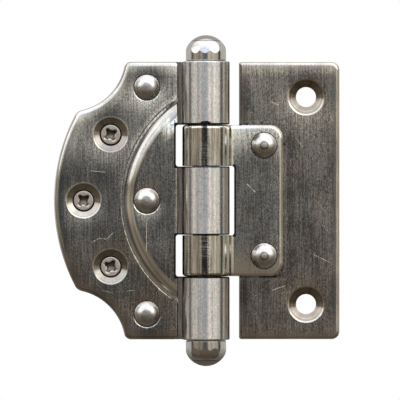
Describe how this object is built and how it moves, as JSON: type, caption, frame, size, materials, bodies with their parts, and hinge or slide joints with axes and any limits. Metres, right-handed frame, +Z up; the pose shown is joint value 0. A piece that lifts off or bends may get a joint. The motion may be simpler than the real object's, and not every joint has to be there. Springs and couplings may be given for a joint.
{
  "type": "surface mount cabinet hinge",
  "caption": "Stout steel surface hinge with a scalloped front plate, a raised half-round panel, a rolled barrel with ball tips and a plain rectangular plate.",
  "frame": {"origin": "midway between the two screw holes of the rectangular plate, on its back face", "axes": "+Z up along the pin, -Y towards the front, +X from the pin towards the rectangular plate"},
  "size_m": [0.0654, 0.0108, 0.0756],
  "materials": {
    "front_plate": "brushed, worn",
    "left_leaf": "polished barrel",
    "base_plate": "brushed, worn",
    "right_leaf": "brushed, worn",
    "pin": "ground",
    "tips": "polished",
    "rivets": "polished",
    "screws": "plain"
  },
  "bodies": {
    "fixed_side": {"rectangular_plate": "base_plate", "two_knuckle_leaf": "right_leaf", "right_rivet_upper": "rivets", "right_rivet_lower": "rivets"},
    "swinging_side": {"scalloped_plate": "front_plate", "three_knuckle_leaf": "left_leaf", "left_rivet_upper": "rivets", "left_rivet_middle": "rivets", "left_rivet_lower": "rivets", "left_screw_upper": "screws", "left_screw_middle": "screws", "left_screw_lower": "screws", "hinge_pin": "pin", "top_ball_tip": "tips", "bottom_ball_tip": "tips"}
  },
  "joints": [
    {"name": "pin_hinge", "type": "hinge", "parent": "fixed_side", "child": "swinging_side", "pos_m": [-0.02295, -0.0054, 0], "axis": [0, 0, 1], "range_deg": [-90, 170]}
  ]
}
